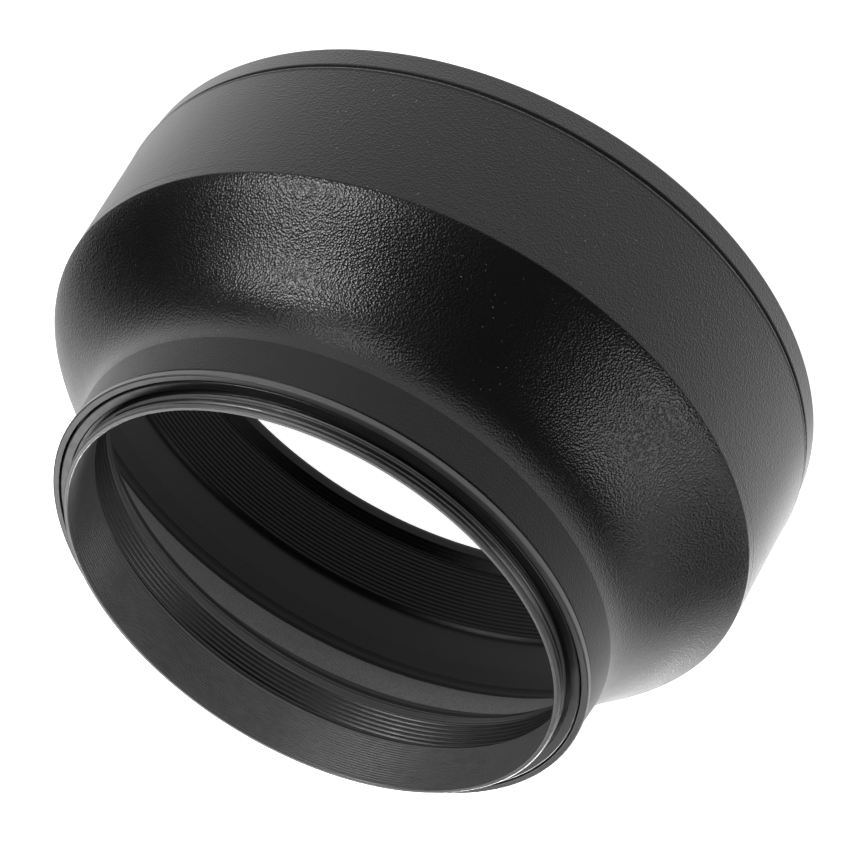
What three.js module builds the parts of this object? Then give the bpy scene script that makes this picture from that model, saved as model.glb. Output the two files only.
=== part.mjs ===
// Collapsible rubber lens hood on a threaded filter ring, standing on its front rim.
// Millimetres, +Z up: the front rim lies on Z = 0 and the mount thread is on top.
// Each section below is drawn as points [radius, depth], where depth is the distance
// in front of the rear end face, and is turned about the optical axis.
import * as THREE from 'three';

// Overall
const LENGTH = 51;            // rear end face to front rim
const GAP = 0.3;              // clearance left between touching pieces
const SEGMENTS = 60;          // steps round the axis
const CHAMFER = 0.2;          // on the edges of the metal rings

// Filter threads
const PITCH = 0.75;
const THREAD_HEIGHT = 0.42;   // crest to root
const STEPS_PER_PITCH = 4;
const RUN_OUT = 0.5;          // length over which a thread fades in or out

// Mount ring
const BORE_REAR = 35.1;
const BORE_FRONT = 35.5;
const MALE_CREST = 36;        // 72 mm filter thread
const MALE_START = 0.3;
const MALE_END = 2.1;
const UNDERCUT_RADIUS = 36.5; // groove between the thread and the flange's flat seat
const UNDERCUT_FRONT = 2.8;
const FLANGE_REAR = 2.5;
const FLANGE_FRONT = 3.9;
const FLANGE_RADIUS = 37.7;
const SPIGOT_RADIUS = 36.5;
const MOUNT_FRONT = 8;

// Trim ring round the flange
const TRIM_INSIDE = FLANGE_RADIUS + GAP;
const TRIM_RADIUS = 38.9;
const TRIM_REAR = 2.5;
const TRIM_FRONT = 3.5;

// Retaining ring, which carries the front filter thread inside the hood
const RETAINER_REAR = FLANGE_FRONT + GAP;
const RETAINER_INSIDE = SPIGOT_RADIUS + GAP;
const RETAINER_OUTSIDE = 37.8;
const RETAINER_STEP = 8.4;    // where the sleeve opens out to the thread
const FEMALE_ROOT = 37.3;
const FEMALE_START = 9.6;
const FEMALE_END = 14.2;
const FLARE_START = 14.4;
const LIP_REAR = 16;
const LIP_FRONT = 17.2;
const LIP_INSIDE = 38.7;
const LIP_RADIUS = 39.8;
const LIP_CHAMFER = 0.5;

// Rubber collar, shoulder and crease
const COLLAR_INSIDE = RETAINER_OUTSIDE + GAP;
const COLLAR_REAR = TRIM_FRONT + GAP;
const COLLAR_REAR_RADIUS = 38.6;
const CORNER = [39.25, 9.2];          // collar meets shoulder
const CREASE = [51.5, 26.8];          // shoulder meets bell
const SHOULDER_LEAVES = [0, 7.5];     // curve handle at the corner
const SHOULDER_ARRIVES = [2.4, 3.1];  // curve handle at the crease
const CORNER_WALL = 0.9;
const CREASE_WALL = 1.6;
const SHOULDER_STEPS = 9;
const CREASE_WIDTH = 1.6;
const CREASE_STEP = 0.1;              // the bell starts this much outside the shoulder

// Rubber bell and rim
const BELL_WALL = 1.9;
const BELL_FRONT = [52.6, 46.7];
const GROOVE_RADIUS = 51.3;           // groove between the bell and the rim
const GROOVE_REAR = 47.1;
const FOLD_START = 36.5;              // fold inside the bell, where its fine ribs begin
const FOLD_MIDDLE = 37.3;
const FOLD_END = 38;
const FOLD_DIP = 0.4;
const RIB_HEIGHT = 0.8;
const RIM_REAR = GROOVE_REAR + GAP;
const RIM_REAR_RADIUS = 52.4;
const RIM_FRONT_RADIUS = 52.3;
const RIM_BEVEL = 0.4;
const OPENING_RADIUS = 46.1;
const OPENING_ROUND = 0.9;
const OPENING_STEP = 1.3;             // the bell stops this much outside the opening

const height = (depth) => LENGTH - depth;

// A closed ring turned from an outline. Each point is [radius, depth, helix], and helix
// is the most that a thread cuts away there.
function turned(name, outline, colour, roughness, metalness) {
  const rows = outline.length;
  const positions = [];
  const triangles = [];
  for (let step = 0; step < SEGMENTS; step += 1) {
    const turn = step / SEGMENTS;
    const angle = turn * 2 * Math.PI;
    for (const [radius, depth, helix = 0] of outline) {
      const r = radius - helix * threadWave(depth, turn);
      positions.push(r * Math.cos(angle), r * Math.sin(angle), height(depth));
    }
  }
  for (let step = 0; step < SEGMENTS; step += 1) {
    const next = (step + 1) % SEGMENTS;
    for (let row = 0; row < rows; row += 1) {
      const after = (row + 1) % rows;
      const a = step * rows + row;
      const b = step * rows + after;
      const c = next * rows + after;
      const d = next * rows + row;
      triangles.push(a, b, c, a, c, d);
    }
  }
  const geometry = new THREE.BufferGeometry();
  geometry.setAttribute('position', new THREE.Float32BufferAttribute(positions, 3));
  geometry.setIndex(triangles);
  geometry.computeVertexNormals();
  const material = new THREE.MeshStandardMaterial({ color: colour, roughness, metalness });
  const mesh = new THREE.Mesh(geometry, material);
  mesh.name = name;
  return mesh;
}

// Share of the thread height cut away, from 0 to 1, on a right-hand helix.
function threadWave(depth, turn) {
  const phase = depth / PITCH + turn;
  return 0.5 - 0.5 * Math.cos(phase * 2 * Math.PI);
}

// Points along a threaded stretch, with the thread faded in and out at its ends.
function threadedStretch(radius, start, end) {
  const count = Math.round((end - start) / PITCH * STEPS_PER_PITCH);
  const points = [];
  for (let i = 0; i <= count; i += 1) {
    const depth = start + (end - start) * i / count;
    const inside = Math.min(depth - start, end - depth);
    const fade = Math.min(1, inside / RUN_OUT);
    points.push([radius, depth, fade * THREAD_HEIGHT]);
  }
  return points;
}

// An arc about a centre, between two angles in degrees from the radius direction.
function arc(centre, radius, from, to, steps = 4) {
  const points = [];
  for (let i = 0; i <= steps; i += 1) {
    const angle = THREE.MathUtils.degToRad(from + (to - from) * i / steps);
    points.push([centre[0] + radius * Math.cos(angle), centre[1] + radius * Math.sin(angle)]);
  }
  return points;
}

// Every outline runs along the outside towards the front and comes back along the inside.
function mountRing() {
  const maleRoot = MALE_CREST - THREAD_HEIGHT;
  const outline = [
    [BORE_REAR + CHAMFER, 0],
    [MALE_CREST - CHAMFER, 0],
    ...threadedStretch(MALE_CREST, MALE_START, MALE_END),
    [maleRoot, MALE_END + CHAMFER / 2],
    [maleRoot, UNDERCUT_FRONT],
    [UNDERCUT_RADIUS, UNDERCUT_FRONT],
    [UNDERCUT_RADIUS, FLANGE_REAR],
    [FLANGE_RADIUS - CHAMFER, FLANGE_REAR],
    [FLANGE_RADIUS, FLANGE_REAR + CHAMFER],
    [FLANGE_RADIUS, FLANGE_FRONT],
    [SPIGOT_RADIUS, FLANGE_FRONT],
    [SPIGOT_RADIUS, MOUNT_FRONT],
    [BORE_FRONT, MOUNT_FRONT],
    [BORE_REAR, CHAMFER],
  ];
  return turned('mount_ring', outline, 0x2c2c2e, 0.42, 0.6);
}

function trimRing() {
  const outline = [
    [TRIM_INSIDE, TRIM_REAR],
    [TRIM_RADIUS - CHAMFER, TRIM_REAR],
    [TRIM_RADIUS, TRIM_REAR + CHAMFER],
    [TRIM_RADIUS, TRIM_FRONT - CHAMFER],
    [TRIM_RADIUS - CHAMFER, TRIM_FRONT],
    [TRIM_INSIDE, TRIM_FRONT],
  ];
  return turned('trim_ring', outline, 0x303032, 0.4, 0.6);
}

function retainingRing() {
  const outline = [
    [RETAINER_INSIDE, RETAINER_REAR],
    [RETAINER_OUTSIDE, RETAINER_REAR],
    [RETAINER_OUTSIDE, FLARE_START],
    [LIP_RADIUS, LIP_REAR],
    [LIP_RADIUS, LIP_FRONT],
    [LIP_RADIUS - LIP_CHAMFER, LIP_FRONT],
    [LIP_INSIDE, LIP_FRONT - LIP_CHAMFER],
    [FEMALE_ROOT, FLARE_START],
    ...threadedStretch(FEMALE_ROOT, FEMALE_START, FEMALE_END).reverse(),
    [RETAINER_INSIDE, RETAINER_STEP],
  ];
  return turned('retaining_ring', outline, 0x262628, 0.45, 0.5);
}

function rubberCollar() {
  const outline = [
    [COLLAR_INSIDE, COLLAR_REAR],
    [COLLAR_REAR_RADIUS, COLLAR_REAR],
    CORNER,
    [COLLAR_INSIDE, CORNER[1]],
  ];
  return turned('rubber_collar', outline, 0x3a3a3a, 0.8, 0);
}

// Point on the outside of the shoulder and the direction into the wall there. t is 0 at
// the corner and 1 at the crease.
function shoulderAt(t) {
  const [startRadius, startDepth] = [CORNER[0], CORNER[1] + GAP];
  const [endRadius, endDepth] = [CREASE[0], CREASE[1] - GAP];
  const curve = new THREE.CubicBezierCurve(
    new THREE.Vector2(startRadius, startDepth),
    new THREE.Vector2(startRadius + SHOULDER_LEAVES[0], startDepth + SHOULDER_LEAVES[1]),
    new THREE.Vector2(endRadius - SHOULDER_ARRIVES[0], endDepth - SHOULDER_ARRIVES[1]),
    new THREE.Vector2(endRadius, endDepth),
  );
  const point = curve.getPoint(t);
  const tangent = curve.getTangent(t);
  return { point, inward: new THREE.Vector2(-tangent.y, tangent.x) };
}

function rubberShoulder() {
  const outside = [];
  const inside = [];
  for (let i = 0; i <= SHOULDER_STEPS; i += 1) {
    const t = i / SHOULDER_STEPS;
    const wall = CORNER_WALL + (CREASE_WALL - CORNER_WALL) * t;
    const { point, inward } = shoulderAt(t);
    const innerDepth = Math.min(point.y + wall * inward.y, CREASE[1] - GAP);
    outside.push([point.x, point.y]);
    inside.push([point.x + wall * inward.x, innerDepth]);
  }
  return turned('rubber_shoulder', [...outside, ...inside.reverse()], 0x1e1e1e, 0.5, 0);
}

function creaseBead() {
  const [radius, depth] = CREASE;
  const outline = [
    [radius, depth],
    [radius + CREASE_STEP, depth + CREASE_WIDTH],
    [radius - BELL_WALL, depth + CREASE_WIDTH],
    [radius - BELL_WALL, depth],
  ];
  return turned('crease_bead', outline, 0x262626, 0.6, 0);
}

function rubberBell() {
  const rear = CREASE[1] + CREASE_WIDTH + GAP;
  const [frontRadius, front] = BELL_FRONT;
  const rearRadius = CREASE[0] + CREASE_STEP;
  const slope = (frontRadius - rearRadius) / (front - rear);
  const inside = (depth) => rearRadius + slope * (depth - rear) - BELL_WALL;
  const outline = [
    [rearRadius, rear],
    BELL_FRONT,
    [GROOVE_RADIUS, GROOVE_REAR],
    [OPENING_RADIUS + OPENING_STEP, GROOVE_REAR],
    [inside(FOLD_END) - RIB_HEIGHT, FOLD_END],
    [inside(FOLD_MIDDLE) + FOLD_DIP, FOLD_MIDDLE],
    [inside(FOLD_START), FOLD_START],
    [inside(rear), rear],
  ];
  return turned('rubber_bell', outline, 0x464646, 0.85, 0);
}

function rimLip() {
  const roundCentre = [OPENING_RADIUS + OPENING_ROUND, LENGTH - OPENING_ROUND];
  const outline = [
    [OPENING_RADIUS + OPENING_STEP, RIM_REAR],
    [RIM_REAR_RADIUS, RIM_REAR],
    [RIM_FRONT_RADIUS, LENGTH - RIM_BEVEL],
    [RIM_FRONT_RADIUS - RIM_BEVEL, LENGTH],
    ...arc(roundCentre, OPENING_ROUND, 90, 180),
  ];
  return turned('rim_lip', outline, 0x3c3c3c, 0.8, 0);
}

const hood = new THREE.Group();
hood.add(
  mountRing(),
  trimRing(),
  retainingRing(),
  rubberCollar(),
  rubberShoulder(),
  creaseBead(),
  rubberBell(),
  rimLip(),
);

export default hood;
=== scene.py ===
"""Looks, camera and light for a collapsible rubber lens hood on a threaded metal ring."""

import math

import bpy
import numpy as np
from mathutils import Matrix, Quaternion, Vector


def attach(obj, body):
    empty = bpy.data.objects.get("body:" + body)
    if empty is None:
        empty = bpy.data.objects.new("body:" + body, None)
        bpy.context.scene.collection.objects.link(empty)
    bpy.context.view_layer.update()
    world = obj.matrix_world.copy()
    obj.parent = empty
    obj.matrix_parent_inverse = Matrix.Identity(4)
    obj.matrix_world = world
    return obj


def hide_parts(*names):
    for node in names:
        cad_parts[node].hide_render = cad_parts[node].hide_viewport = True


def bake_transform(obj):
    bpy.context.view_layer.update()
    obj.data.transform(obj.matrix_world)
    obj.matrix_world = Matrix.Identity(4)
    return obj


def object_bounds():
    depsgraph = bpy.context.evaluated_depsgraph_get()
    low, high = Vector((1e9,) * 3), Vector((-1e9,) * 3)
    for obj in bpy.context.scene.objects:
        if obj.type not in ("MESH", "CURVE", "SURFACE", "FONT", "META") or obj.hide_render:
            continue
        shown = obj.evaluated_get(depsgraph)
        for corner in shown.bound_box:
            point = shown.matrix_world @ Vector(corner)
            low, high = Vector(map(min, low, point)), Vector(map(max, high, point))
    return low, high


# Sizes are in millimetres. A depth is measured forwards from the rear end face of the ring,
# so a point at depth d stands at the hood's length less d above the floor.
MM = 0.001
STEPS = 288                      # steps round the axis
STEP_ON = 0.1                    # from the end of one stretch of an outline to the next
FLAT_FROM = 1.25                 # faces are flat from this many roundings off a corner
SHARP_FROM = math.radians(40)    # edges that turn more than this stay sharp
FACES_IN = 0.2                   # how squarely a face looks at the axis to count as inside

# Threads and fine ribs
PITCH = 0.75
MALE_HEIGHT = 0.42
FEMALE_HEIGHT = 0.22
CREST_SHARE = 0.4                # the top of the thread, painted bright as a highlight
THREAD_ROWS = 8                  # rows of points in one pitch
RUN_OUT = 0.6
BORE_RIB = 0.44
BORE_RIB_DEPTH = 0.12
BELL_RIB = 0.66
BELL_RIB_DEPTH = 0.05
RIB_ROWS = 6

# Metal rings
BORE_REAR = 35.1
BORE_FRONT = 35.6
END_CHAMFER = 0.2
END_DEPTH = 0.3                  # depth of the chamfers at the rear end face
END_EDGE = 0.08
MALE_CREST = 36
MALE_START = 0.35
MALE_END = 2.2
UNDERCUT_RADIUS = 36.5
UNDERCUT_FRONT = 2.9
FLANGE_REAR = 2.5
FLANGE_FRONT = 3.9
FLANGE_RADIUS = 37.75
SPIGOT_RADIUS = 36.5
MOUNT_FRONT = 8
TRIM_INSIDE = 37.95
TRIM_RADIUS = 38.9
TRIM_FRONT = 3.5
RETAINER_REAR = 4
RETAINER_INSIDE = 36.6
RETAINER_OUTSIDE = 37.95
RETAINER_STEP = 8.5
FEMALE_ROOT = 37.3
FEMALE_START = 9.3
FEMALE_END = 14.4
FLARE_START = 15
FLARE_OUTSIDE_START = 14.4
LIP_REAR = 16
LIP_FRONT = 17.2
LIP_INSIDE = 38.7
LIP_RADIUS = 39.8
LAND = 0.4                       # width of the retaining ring's edge bands, painted bright as highlights
EDGE = 0.1                       # rounding of most edges

# Rubber
COLLAR_GAP = 0.1                 # between the collar and the retaining ring
COLLAR_REAR = 3.65
COLLAR_REAR_RADIUS = 38.65
CORNER = (39.25, 9.2)
CREASE = (51.5, 26.8)
SHOULDER_LEAVES = (0, 7.5)
SHOULDER_ARRIVES = (2.4, 3.1)
SHOULDER_ROWS = 40
CORNER_WALL = 1
CREASE_WALL = 1.7
CREASE_WIDTH = 1.6
CREASE_EDGE = 0.25
FINE_EDGE = 0.05
PAINTED_LIT_START = 18.3                # painted light: a pale band inside the shoulder standing in for light falling on it
PAINTED_LIT_END = 25.3
BELL_WALL = 1.9
BELL_SEAM = 3                    # the bell's outline starts this far in front of the crease bead
BELL_FRONT = (52.6, 46.7)
GROOVE_RADIUS = 52.1
GROOVE_SLOPE = 0.25
GROOVE_GAP = 0.3                 # between the bell and the rim, under the groove
RIDGE = 0.07                     # how far the bell's front edge stands proud
RIDGE_REAR = 0.5
RIDGE_TOP = 0.2
RIM_REAR = 47.4
RIM_REAR_RADIUS = 52.5
RIM_FRONT_RADIUS = 52.4
OPENING_RADIUS = 46.1
OPENING_STEP = 1.3
RIM_EDGES = (0.25, 0.5, 1.1)     # roundings of the rim: rear, front and inside
RIM_PLAIN = 2                    # from the front of the rim to its ribs
FOLD = (50.2, 37.3)
FOLD_LENGTH = 1.5
FOLD_EDGE = 0.6
RIBS_START = (49.5, 38.3)

# The bell is soft: the rings stand slightly askew on it, it sits a little off their axis,
# and it is slightly oval, longest at STRETCH_TURN from +X.
LEAN = math.radians(2)
BELL_SHIFT = Vector((0.04, -1.01))
STRETCH = 0.0104
STRETCH_TURN = math.radians(16.6)

# Finishes
DUST_TONE = 0.3
BLOOM_ROUGHNESS = 0.4
RUBBER_PATCHES = 0.012           # how far the roughness strays either way
METAL_PATCHES = 0.03
METAL_SPEC = 0.6

# Camera
CAMERA_PLACE = Vector((-165.28, -227.05, 219.89))
CAMERA_AIM = Vector((-9.45, -10.98, 25.5))
CAMERA_ROLL = math.radians(-149.83)
CAMERA_LENS = 105.9

# Lights: name, degrees round from -Y towards +X, degrees above the floor, size and power.
LIGHT_DISTANCE = 600
LIGHTS = [
    ("key", 27, 36, 140, 1.6),
    ("back_glow", 170, 4, 250, 6.0),
    ("front_low", 0, 5, 250, 0.8),
    ("back_high", 135, 35, 250, 0.8),
    ("side_high", 255, 40, 200, 0.7),
    ("side_low", 229, 16, 200, 0.25),
]
ROOM_LIGHT = 0.03
FLOOR_GLOW = 0.95
FLOOR_FAR_GLOW = 0.15
FLOOR_FADE = (85, 220)           # the glow fades over these distances from the middle
FLOOR_SIZE = 4                   # metres from the middle to each side

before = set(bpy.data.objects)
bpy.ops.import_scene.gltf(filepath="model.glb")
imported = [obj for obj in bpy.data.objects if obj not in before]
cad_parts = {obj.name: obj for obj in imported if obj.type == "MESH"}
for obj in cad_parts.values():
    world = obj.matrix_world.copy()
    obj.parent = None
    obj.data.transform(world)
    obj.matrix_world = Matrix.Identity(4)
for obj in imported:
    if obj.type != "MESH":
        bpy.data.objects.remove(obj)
cad_low, cad_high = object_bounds()
LENGTH = cad_high.z / MM


# --- Outlines, as rows of radius, depth and the most that a thread cuts away there ---


def path(*corners, steps=4):
    """Rows through these corners (radius, depth, rounding), each but the ends rounded."""
    rows = [corners[0][:2]]
    for before, here, after in zip(corners, corners[1:], corners[2:]):
        corner = Vector(here[:2])
        rounding = here[2] if len(here) > 2 else 0
        if not rounding:
            rows.append(tuple(corner))
            continue
        back = (Vector(before[:2]) - corner).normalized() * rounding
        ahead = (Vector(after[:2]) - corner).normalized() * rounding
        rows.append(tuple(corner + back * FLAT_FROM))
        for i in range(steps + 1):
            t = i / steps
            rows.append(tuple(corner + back * (1 - t) ** 2 + ahead * t**2))
        rows.append(tuple(corner + ahead * FLAT_FROM))
    rows.append(corners[-1][:2])
    return [(radius, depth, 0) for radius, depth in rows]


def thread(radius, start, end, height):
    """Rows along a helical thread that fades in and out at its ends."""
    count = round((end - start) / PITCH * THREAD_ROWS)
    depths = np.linspace(start, end, count + 1)
    fade = np.clip(np.minimum(depths - start, end - depths) / RUN_OUT, 0, 1)
    return [(radius, depth, share * height) for depth, share in zip(depths, fade)]


def ribs(start, end, spacing, groove):
    """Rows along a wall with fine ribs round it, from one (radius, depth) to another."""
    count = round(math.dist(start, end) / spacing)
    rows = []
    for i in range(count * RIB_ROWS + 1):
        t = i / (count * RIB_ROWS)
        radius, depth = Vector(start).lerp(Vector(end), t)
        wave = 0.5 - 0.5 * math.cos(2 * math.pi * i / RIB_ROWS)
        rows.append((radius + groove * wave, depth, 0))
    return rows


# --- Meshes ---


def smooth(t):
    """From 0 to 1 with level ends."""
    t = np.clip(t, 0, 1)
    return t * t * (3 - 2 * t)


def shared(depth):
    """How far the shoulder follows the rings, from 1 at the corner to 0 at the crease."""
    return 1 - smooth((depth - CORNER[1]) / (CREASE[1] - CORNER[1]))


def rigid(depth):
    """The share of a piece that leans with the rings."""
    return np.ones_like(depth)


def soft(depth):
    """The share of a piece that stays with the bell."""
    return np.zeros_like(depth)


def settled(points, share):
    """The points as the hood stands: share is 1 on the rigid rings and 0 on the soft bell."""
    pivot = LENGTH - CORNER[1]
    angle = LEAN * share
    x, y, z = points[..., 0], points[..., 1], points[..., 2] - pivot
    y, z = y * np.cos(angle) - z * np.sin(angle), y * np.sin(angle) + z * np.cos(angle)
    give = 1 - share
    along = STRETCH * math.cos(2 * STRETCH_TURN)
    across = STRETCH * math.sin(2 * STRETCH_TURN)
    settled_x = x + give * (along * x + across * y + BELL_SHIFT.x)
    settled_y = y + give * (across * x - along * y + BELL_SHIFT.y)
    return np.stack([settled_x, settled_y, z + pivot], axis=-1)


# Which of a piece's looks each face takes. cut is how deep the thread is cut at the face.


def by_side(depth, faces_in, cut):
    """0 outside and 1 where the face looks towards the axis."""
    return faces_in


def mount_looks(depth, faces_in, cut):
    """0 on the dark outside, 1 on the inner wall, the end face and the thread's crests, painted as
    a highlight in a brighter copy of the metal.
    """
    crest = (cut < CREST_SHARE * MALE_HEIGHT) & (depth < MALE_END)
    return faces_in | crest


def retainer_looks(depth, faces_in, cut):
    """0 on the thread, 1 on two edge bands painted bright as highlights and 2 on the lip's front,
    painted shade in the dark inside rubber.
    """
    step = (depth > RETAINER_STEP - LAND) & (depth < RETAINER_STEP)
    lip = (depth > LIP_REAR) & (depth < LIP_REAR + LAND)
    return (step | lip) + 2 * (depth > LIP_REAR + LAND)


def shoulder_looks(depth, faces_in, cut):
    """0 outside, 2 on the pale band inside, painted as light falling there, and 1 on the rest of
    the inside.
    """
    painted_lit_band = (depth > PAINTED_LIT_START) & (depth < PAINTED_LIT_END)
    return faces_in * (1 + painted_lit_band)


def ring_faces(count):
    """Faces between neighbouring columns of points, each column with this many rows."""
    faces = []
    for step in range(STEPS):
        here, there = step * count, (step + 1) % STEPS * count
        for row in range(count):
            after = (row + 1) % count
            faces.append((here + row, here + after, there + after, there + row))
    return faces


def turned(name, outline, share, looks=by_side):
    """A closed ring turned from an outline about the optical axis."""
    rows = np.array(outline, float)
    turn = np.arange(STEPS)[:, None] / STEPS
    radius, depth, cut = (rows[None, :, i] for i in range(3))
    cut = cut * (0.5 - 0.5 * np.cos(2 * math.pi * (depth / PITCH + turn)))
    r = radius - cut
    angle = 2 * math.pi * turn
    depth = np.broadcast_to(depth, r.shape)
    points = np.stack([r * np.cos(angle), r * np.sin(angle), LENGTH - depth], axis=-1)
    points = settled(points, share(depth))
    mesh = bpy.data.meshes.new(name)
    mesh.from_pydata((points.reshape(-1, 3) * MM).tolist(), [], ring_faces(len(rows)))

    outward, forward = (np.roll(rows, -1, axis=0) - rows)[:, :2].T
    faces_in = forward < -FACES_IN * np.hypot(forward, outward)
    index = np.broadcast_to(looks(rows[:, 1] + forward / 2, faces_in, cut), r.shape)
    mesh.polygons.foreach_set("material_index", index.astype(np.int32).ravel())
    mesh.shade_smooth()
    mesh.set_sharp_from_angle(angle=SHARP_FROM)
    obj = bpy.data.objects.new(name, mesh)
    bpy.context.scene.collection.objects.link(obj)
    return obj


def mount_ring():
    root = MALE_CREST - MALE_HEIGHT
    outline = [
        *path(
            (BORE_REAR, END_DEPTH),
            (BORE_REAR + END_CHAMFER, 0, END_EDGE),
            (MALE_CREST - END_CHAMFER, 0, END_EDGE),
            (MALE_CREST, END_DEPTH),
        ),
        *thread(MALE_CREST, MALE_START, MALE_END, MALE_HEIGHT),
        *path(
            (root, MALE_END + STEP_ON),
            (root, UNDERCUT_FRONT, EDGE),
            (UNDERCUT_RADIUS, UNDERCUT_FRONT, EDGE),
            (UNDERCUT_RADIUS, FLANGE_REAR, EDGE),
            (FLANGE_RADIUS, FLANGE_REAR, 2 * EDGE),
            (FLANGE_RADIUS, FLANGE_FRONT, EDGE),
            (SPIGOT_RADIUS, FLANGE_FRONT, EDGE),
            (SPIGOT_RADIUS, MOUNT_FRONT, EDGE),
            (BORE_FRONT, MOUNT_FRONT, EDGE),
            (BORE_FRONT, MOUNT_FRONT - 2 * STEP_ON),
        ),
        *ribs(
            (BORE_FRONT, MOUNT_FRONT - 3 * STEP_ON),
            (BORE_REAR, END_DEPTH + STEP_ON),
            BORE_RIB,
            BORE_RIB_DEPTH,
        ),
    ]
    return turned("hood_mount_ring", outline, rigid, mount_looks)


def trim_ring():
    middle = (FLANGE_REAR + TRIM_FRONT) / 2
    outline = path(
        (TRIM_INSIDE, middle),
        (TRIM_INSIDE, FLANGE_REAR, EDGE),
        (TRIM_RADIUS, FLANGE_REAR, 2 * EDGE),
        (TRIM_RADIUS, TRIM_FRONT, 2 * EDGE),
        (TRIM_INSIDE, TRIM_FRONT, EDGE),
        (TRIM_INSIDE, middle + STEP_ON),
    )
    return turned("hood_trim_ring", outline, rigid)


def retaining_ring():
    outline = [
        *path(
            (RETAINER_INSIDE, RETAINER_STEP),
            (RETAINER_INSIDE, RETAINER_REAR, EDGE),
            (RETAINER_OUTSIDE, RETAINER_REAR, EDGE),
            (RETAINER_OUTSIDE, FLARE_OUTSIDE_START, EDGE),
            (LIP_RADIUS, LIP_REAR, EDGE),
            (LIP_RADIUS, LIP_FRONT, 2 * EDGE),
            (LIP_INSIDE, LIP_FRONT, 2 * EDGE),
            (LIP_INSIDE, LIP_REAR + LAND, EDGE),
            (FEMALE_ROOT, FLARE_START, EDGE),
            (FEMALE_ROOT, FEMALE_END + STEP_ON),
        ),
        *thread(FEMALE_ROOT, FEMALE_START, FEMALE_END, FEMALE_HEIGHT)[::-1],
    ]
    return turned("hood_retaining_ring", outline, rigid, retainer_looks)


def rubber_collar():
    inside = RETAINER_OUTSIDE + COLLAR_GAP
    middle = (COLLAR_REAR + CORNER[1]) / 2
    outline = path(
        (inside, middle),
        (inside, COLLAR_REAR, EDGE),
        (COLLAR_REAR_RADIUS, COLLAR_REAR, 3 * EDGE),
        CORNER,
        (inside, CORNER[1]),
        (inside, middle + STEP_ON),
    )
    return turned("hood_rubber_collar", outline, rigid)


def shoulder_curve(t):
    """Outside of the shoulder and the direction into its wall. t is 0 at the corner."""
    start, end = Vector(CORNER), Vector(CREASE)
    leaves = start + Vector(SHOULDER_LEAVES)
    arrives = end - Vector(SHOULDER_ARRIVES)
    point = (
        start * (1 - t) ** 3
        + leaves * 3 * t * (1 - t) ** 2
        + arrives * 3 * t**2 * (1 - t)
        + end * t**3
    )
    along = (
        (leaves - start) * (1 - t) ** 2
        + (arrives - leaves) * 2 * t * (1 - t)
        + (end - arrives) * t**2
    ).normalized()
    return point, Vector((-along.y, along.x))


def rubber_shoulder():
    outside, inside = [], []
    for i in range(SHOULDER_ROWS + 1):
        t = i / SHOULDER_ROWS
        point, inward = shoulder_curve(t)
        wall = CORNER_WALL + (CREASE_WALL - CORNER_WALL) * t
        inner = point + inward * wall
        outside.append((point.x, point.y, 0))
        inside.append((inner.x, min(inner.y, CREASE[1]), 0))
    return turned("hood_rubber_shoulder", outside + inside[::-1], shared, shoulder_looks)


def bell_radius(depth):
    (rear_radius, rear), (front_radius, front) = CREASE, BELL_FRONT
    return rear_radius + (front_radius - rear_radius) * (depth - rear) / (front - rear)


def crease_bead():
    radius, rear = CREASE
    front = rear + CREASE_WIDTH
    middle = (rear + front) / 2
    outline = path(
        (radius - CREASE_WALL, middle),
        (radius - CREASE_WALL, rear, FINE_EDGE),
        (radius, rear, CREASE_EDGE),
        (bell_radius(front), front, FINE_EDGE),
        (bell_radius(front) - BELL_WALL, front, FINE_EDGE),
        (radius - CREASE_WALL, middle + STEP_ON),
    )
    return turned("hood_crease_bead", outline, soft)


def rubber_bell():
    rear = CREASE[1] + CREASE_WIDTH
    radius, front = BELL_FRONT
    opening = OPENING_RADIUS + OPENING_STEP
    inside = bell_radius(rear) - BELL_WALL
    fold_rear = FOLD[1] - FOLD_LENGTH
    outline = [
        *path(
            (inside, rear + BELL_SEAM),
            (inside, rear, FINE_EDGE),
            (bell_radius(rear), rear, FINE_EDGE),
            (bell_radius(front - RIDGE_REAR), front - RIDGE_REAR, EDGE),
            (radius + RIDGE, front - RIDGE_TOP, EDGE),
            (radius, front, EDGE),
            (GROOVE_RADIUS, front + GROOVE_SLOPE, EDGE),
            (GROOVE_RADIUS, RIM_REAR, FINE_EDGE),
            (opening, RIM_REAR - GROOVE_GAP),
        ),
        *ribs((opening, RIM_REAR - GROOVE_GAP - STEP_ON), RIBS_START, BELL_RIB, BELL_RIB_DEPTH),
        *path(
            (RIBS_START[0] + STEP_ON, RIBS_START[1] - 2 * STEP_ON),
            (*FOLD, FOLD_EDGE),
            (bell_radius(fold_rear) - BELL_WALL, fold_rear, FOLD_EDGE),
            (inside, rear + BELL_SEAM + 2 * STEP_ON),
        ),
    ]
    return turned("hood_rubber_bell", outline, soft)


def rim_lip():
    opening = OPENING_RADIUS + OPENING_STEP
    rear_edge, front_edge, inside_edge = RIM_EDGES
    outline = [
        *path(
            (opening, RIM_REAR),
            (RIM_REAR_RADIUS, RIM_REAR, rear_edge),
            (RIM_FRONT_RADIUS, LENGTH, front_edge),
            (OPENING_RADIUS, LENGTH, inside_edge),
            (OPENING_RADIUS, LENGTH - RIM_PLAIN),
            steps=8,
        ),
        *ribs(
            (OPENING_RADIUS + STEP_ON, LENGTH - RIM_PLAIN - STEP_ON),
            (opening, RIM_REAR + STEP_ON),
            BELL_RIB,
            BELL_RIB_DEPTH,
        ),
    ]
    return turned("hood_rim_lip", outline, soft)


# --- Materials ---


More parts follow.
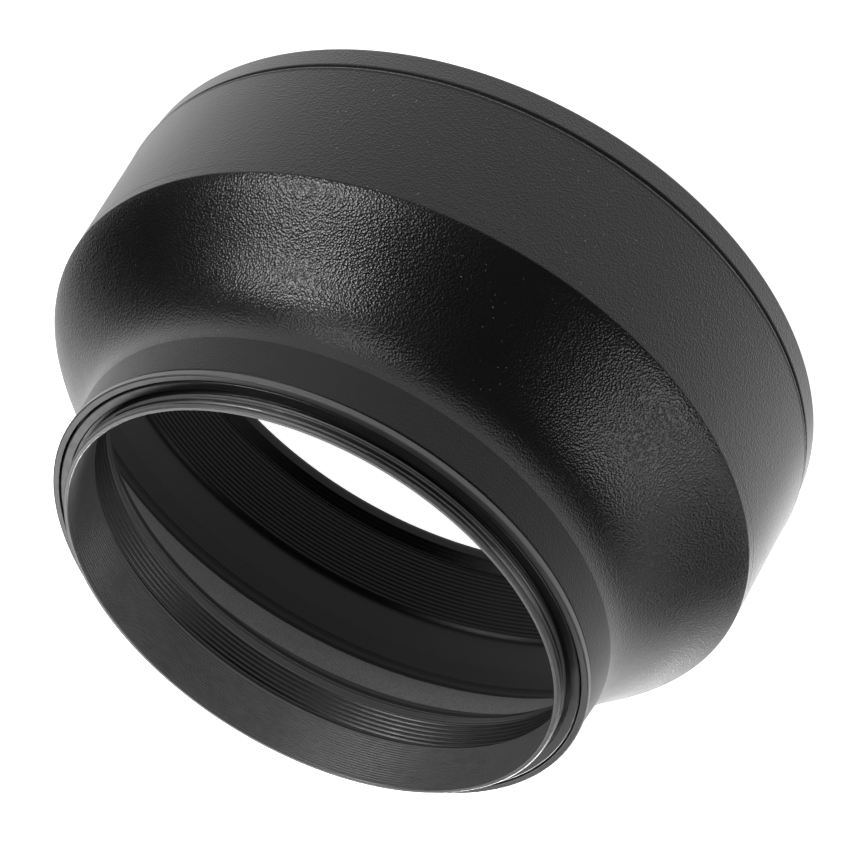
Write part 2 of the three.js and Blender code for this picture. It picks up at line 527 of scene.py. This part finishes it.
class Nodes:
    """A material's node tree, with short calls to add nodes and join them."""

    def __init__(self, name):
        self.material = bpy.data.materials.new(name)
        self.material.use_nodes = True
        self.tree = self.material.node_tree
        self.shader = self.tree.nodes["Principled BSDF"]
        self.place = self.add("ShaderNodeTexCoord").outputs["Object"]

    def add(self, kind, **settings):
        node = self.tree.nodes.new(kind)
        for name, value in settings.items():
            setattr(node, name, value)
        return node

    def join(self, output, socket):
        self.tree.links.new(output, socket)

    def noise(self, size, detail, where=None):
        """Noise from 0 to 1 with features about this many millimetres across."""
        node = self.add("ShaderNodeTexNoise")
        node.inputs["Scale"].default_value = 1 / (size * MM)
        node.inputs["Detail"].default_value = detail
        self.join(where or self.place, node.inputs["Vector"])
        return node.outputs["Fac"]

    def cells(self, size):
        """Distance to the nearest of points about this many millimetres apart."""
        node = self.add("ShaderNodeTexVoronoi", feature="F1")
        node.inputs["Scale"].default_value = 1 / (size * MM)
        self.join(self.place, node.inputs["Vector"])
        return node.outputs["Distance"]

    def span(self, value, low, high, to_low, to_high):
        """value taken from one range to another, held at the ends."""
        node = self.add("ShaderNodeMapRange", clamp=True)
        self.join(value, node.inputs["Value"])
        for name, number in (
            ("From Min", low),
            ("From Max", high),
            ("To Min", to_low),
            ("To Max", to_high),
        ):
            node.inputs[name].default_value = number
        return node.outputs["Result"]

    def combine(self, operation, a, b):
        node = self.add("ShaderNodeMath", operation=operation)
        self.join(a, node.inputs[0])
        self.join(b, node.inputs[1])
        return node.outputs[0]

    def mix(self, share, a, b):
        """Colour from a to b. Each is a colour or an output."""
        node = self.add("ShaderNodeMix", data_type="RGBA")
        self.join(share, node.inputs["Factor"])
        for value, socket in ((a, node.inputs[6]), (b, node.inputs[7])):
            if isinstance(value, bpy.types.NodeSocket):
                self.join(value, socket)
            else:
                socket.default_value = (*value, 1)
        return node.outputs[2]

    def bump(self, height, distance):
        """Bumps this many millimetres high."""
        node = self.add("ShaderNodeBump")
        node.inputs["Strength"].default_value = 1
        node.inputs["Distance"].default_value = distance * MM
        self.join(height, node.inputs["Height"])
        self.join(node.outputs["Normal"], self.shader.inputs["Normal"])


def grey(value):
    return (value, value, value)


def rubber(name, tone, roughness, grain, grain_height, spec, bloom=0.0, dust=0.0):
    """Moulded rubber: a mottled tone, a pebbled grain, a pale bloom and specks of dust.

    The grain's spacing and height are in millimetres. Dust is the strength of its specks.
    """
    nodes = Nodes(name)
    mottle = nodes.span(nodes.noise(9, detail=4), 0.35, 0.65, 0, 1)
    colour = nodes.mix(mottle, grey(tone * 0.93), grey(tone * 1.07))
    pebbles = nodes.cells(grain)
    colour = nodes.mix(nodes.span(pebbles, 0.1, 0.6, 0, 1), grey(tone * 0.4), colour)
    if dust:
        large = nodes.span(nodes.cells(1.9), 0.03, 0.055, dust, 0)
        small = nodes.span(nodes.cells(1.1), 0.05, 0.09, dust * 0.6, 0)
        scattered = nodes.span(nodes.noise(12, detail=2), 0.42, 0.6, 0.15, 1)
        specks = nodes.combine("MULTIPLY", nodes.combine("MAXIMUM", large, small), scattered)
        colour = nodes.mix(specks, colour, grey(DUST_TONE))
    nodes.join(colour, nodes.shader.inputs["Base Color"])
    patches = nodes.noise(5, detail=5)
    patchy = nodes.span(patches, 0.3, 0.7, roughness - RUBBER_PATCHES, roughness + RUBBER_PATCHES)
    nodes.join(patchy, nodes.shader.inputs["Roughness"])
    nodes.shader.inputs["Specular IOR Level"].default_value = spec
    nodes.shader.inputs["Sheen Weight"].default_value = bloom
    nodes.shader.inputs["Sheen Roughness"].default_value = BLOOM_ROUGHNESS
    nodes.bump(pebbles, grain_height)
    return nodes.material


def metal(name, tone, roughness):
    """Black anodised aluminium with faint wear and fine turning marks round the axis."""
    nodes = Nodes(name)
    stretch = nodes.add("ShaderNodeMapping")
    stretch.inputs["Scale"].default_value = (0.05, 0.05, 1)
    nodes.join(nodes.place, stretch.inputs["Vector"])
    marks = nodes.noise(0.12, detail=2, where=stretch.outputs["Vector"])
    wear = nodes.noise(1.5, detail=6)
    shade = nodes.span(nodes.combine("ADD", marks, wear), 0.7, 1.3, 0, 1)
    colour = nodes.mix(shade, grey(tone * 0.88), grey(tone * 1.15))
    nodes.join(colour, nodes.shader.inputs["Base Color"])
    rough = nodes.span(wear, 0.3, 0.7, roughness - METAL_PATCHES, roughness + METAL_PATCHES)
    nodes.join(rough, nodes.shader.inputs["Roughness"])
    nodes.shader.inputs["Specular IOR Level"].default_value = METAL_SPEC
    nodes.bump(nodes.noise(0.15, detail=3), 0.006)
    return nodes.material


def floor_material():
    """A white sheet. What the camera sees glows evenly, and what the hood mirrors fades far off."""
    nodes = Nodes("floor_white")
    nodes.shader.inputs["Base Color"].default_value = (*grey(0.8), 1)
    nodes.shader.inputs["Roughness"].default_value = 1
    nodes.shader.inputs["Emission Color"].default_value = (*grey(1), 1)
    distance = nodes.add("ShaderNodeVectorMath", operation="LENGTH")
    nodes.join(nodes.place, distance.inputs[0])
    near, far = FLOOR_FADE
    glow = nodes.span(distance.outputs["Value"], near * MM, far * MM, FLOOR_GLOW, FLOOR_FAR_GLOW)
    seen = nodes.add("ShaderNodeLightPath").outputs["Is Camera Ray"]
    even = nodes.span(seen, 0, 1, 0, 1)
    strength = nodes.combine("MAXIMUM", glow, even)
    nodes.join(strength, nodes.shader.inputs["Emission Strength"])
    return nodes.material


# --- The hood ---


def finish_piece(piece, node, looks):
    """Gives a piece its looks, numbered in this order, and hides the part that it replaces."""
    for look in looks:
        piece.data.materials.append(look)
    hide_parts(node)


def build_hood():
    # Painted light: the mount ring's inner wall, end face and thread crests take a brighter copy of
    # the same anodised metal as a painted highlight.
    thread_look = metal("anodised_thread", tone=0.012, roughness=0.34)
    mount_painted_highlight = metal("anodised_mount_painted_highlight", tone=0.095, roughness=0.33)
    trim = metal("anodised_trim", tone=0.05, roughness=0.36)
    female = metal("anodised_filter_thread", tone=0.012, roughness=0.38)
    retainer_painted_highlight = metal("anodised_retainer_painted_highlight", tone=0.11, roughness=0.32)
    collar = rubber(
        "rubber_collar_matte",
        tone=0.004,
        roughness=0.42,
        grain=0.24,
        grain_height=0.035,
        spec=0.3,
        bloom=0.1,
    )
    shoulder_look = rubber(
        "rubber_shoulder_grained",
        tone=0.0045,
        roughness=0.29,
        grain=0.3,
        grain_height=0.045,
        spec=0.45,
        dust=0.6,
    )
    bell = rubber(
        "rubber_bell_sandy",
        tone=0.0065,
        roughness=0.6,
        grain=0.28,
        grain_height=0.05,
        spec=0.2,
        bloom=0.95,
        dust=0.9,
    )
    rim = rubber(
        "rubber_rim",
        tone=0.008,
        roughness=0.5,
        grain=0.28,
        grain_height=0.04,
        spec=0.3,
        bloom=0.8,
    )
    # The smooth inside rubber, also put on the retaining ring's lip front as painted shade.
    inside = rubber(
        "rubber_inside_smooth_and_painted_shade",
        tone=0.0048,
        roughness=0.4,
        grain=0.3,
        grain_height=0.008,
        spec=0.18,
    )
    # Painted light: a pale copy of the inside rubber standing in for light falling on a band of the
    # shoulder's inside.
    painted_lit_band = rubber(
        "rubber_inside_painted_lit_band",
        tone=0.13,
        roughness=0.5,
        grain=0.3,
        grain_height=0.008,
        spec=0.18,
    )
    pieces = [
        (mount_ring(), "mount_ring", "mount_metal", "mount", [thread_look, mount_painted_highlight]),
        (trim_ring(), "trim_ring", "trim_metal", "mount", [trim, trim]),
        # Painted light: bright bands at the step and the lip are painted highlights, and the lip's
        # front takes the dark inside rubber as painted shade.
        (retaining_ring(), "retaining_ring", "retainer_metal", "mount", [female, retainer_painted_highlight, inside]),
        (rubber_collar(), "rubber_collar", "collar_rubber", "mount", [collar, inside]),
        (crease_bead(), "crease_bead", "crease_rubber", "bell", [bell, inside]),
        (rubber_bell(), "rubber_bell", "bell_rubber", "bell", [bell, inside]),
        (rim_lip(), "rim_lip", "rim_rubber", "bell", [rim, inside]),
    ]
    for piece, node, slot, body, looks in pieces:
        finish_piece(piece, node, looks)
        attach(piece, body)

    shoulder = rubber_shoulder()
    finish_piece(shoulder, "rubber_shoulder", [shoulder_look, inside, painted_lit_band])
    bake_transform(shoulder)


# --- Floor, light and camera ---


def build_floor():
    size = FLOOR_SIZE
    mesh = bpy.data.meshes.new("floor")
    corners = [(-size, -size, 0), (size, -size, 0), (size, size, 0), (-size, size, 0)]
    mesh.from_pydata(corners, [], [(0, 1, 2, 3)])
    mesh.materials.append(floor_material())
    floor = bpy.data.objects.new("floor", mesh)
    bpy.context.scene.collection.objects.link(floor)


def build_camera():
    camera = bpy.data.objects.new("camera", bpy.data.cameras.new("camera"))
    camera.data.lens = CAMERA_LENS
    camera.data.sensor_width = 36
    camera.location = CAMERA_PLACE * MM
    aim = (CAMERA_AIM - CAMERA_PLACE).to_track_quat("-Z", "Y")
    camera.rotation_mode = "QUATERNION"
    camera.rotation_quaternion = aim @ Quaternion((0, 0, 1), CAMERA_ROLL)
    bpy.context.scene.collection.objects.link(camera)
    bpy.context.scene.camera = camera


def direction(turn, height):
    """Unit vector, by degrees round from -Y towards +X and degrees above the floor."""
    turn, height = math.radians(turn), math.radians(height)
    flat = math.cos(height)
    return Vector((math.sin(turn) * flat, -math.cos(turn) * flat, math.sin(height)))


def soft_light(name, turn, height, size, power):
    """A square light that faces the middle of the hood from this direction."""
    light = bpy.data.objects.new(name, bpy.data.lights.new(name, "AREA"))
    light.data.shape = "SQUARE"
    light.data.size = size * MM
    light.data.energy = power
    toward = direction(turn, height)
    light.location = Vector((0, 0, LENGTH / 2)) * MM + toward * LIGHT_DISTANCE * MM
    light.rotation_mode = "QUATERNION"
    light.rotation_quaternion = toward.to_track_quat("Z", "Y")
    bpy.context.scene.collection.objects.link(light)


def build_light():
    world = bpy.data.worlds.new("studio")
    world.use_nodes = True
    tree = world.node_tree
    seen = tree.nodes.new("ShaderNodeLightPath").outputs["Is Camera Ray"]
    strength = tree.nodes.new("ShaderNodeMapRange")
    strength.inputs["To Min"].default_value = ROOM_LIGHT
    strength.inputs["To Max"].default_value = 1
    tree.links.new(seen, strength.inputs["Value"])
    background = tree.nodes["Background"]
    background.inputs["Color"].default_value = (*grey(1), 1)
    tree.links.new(strength.outputs["Result"], background.inputs["Strength"])
    bpy.context.scene.world = world
    for light in LIGHTS:
        soft_light(*light)


build_hood()
build_floor()
build_camera()
build_light()
bpy.context.scene.view_settings.view_transform = "Standard"
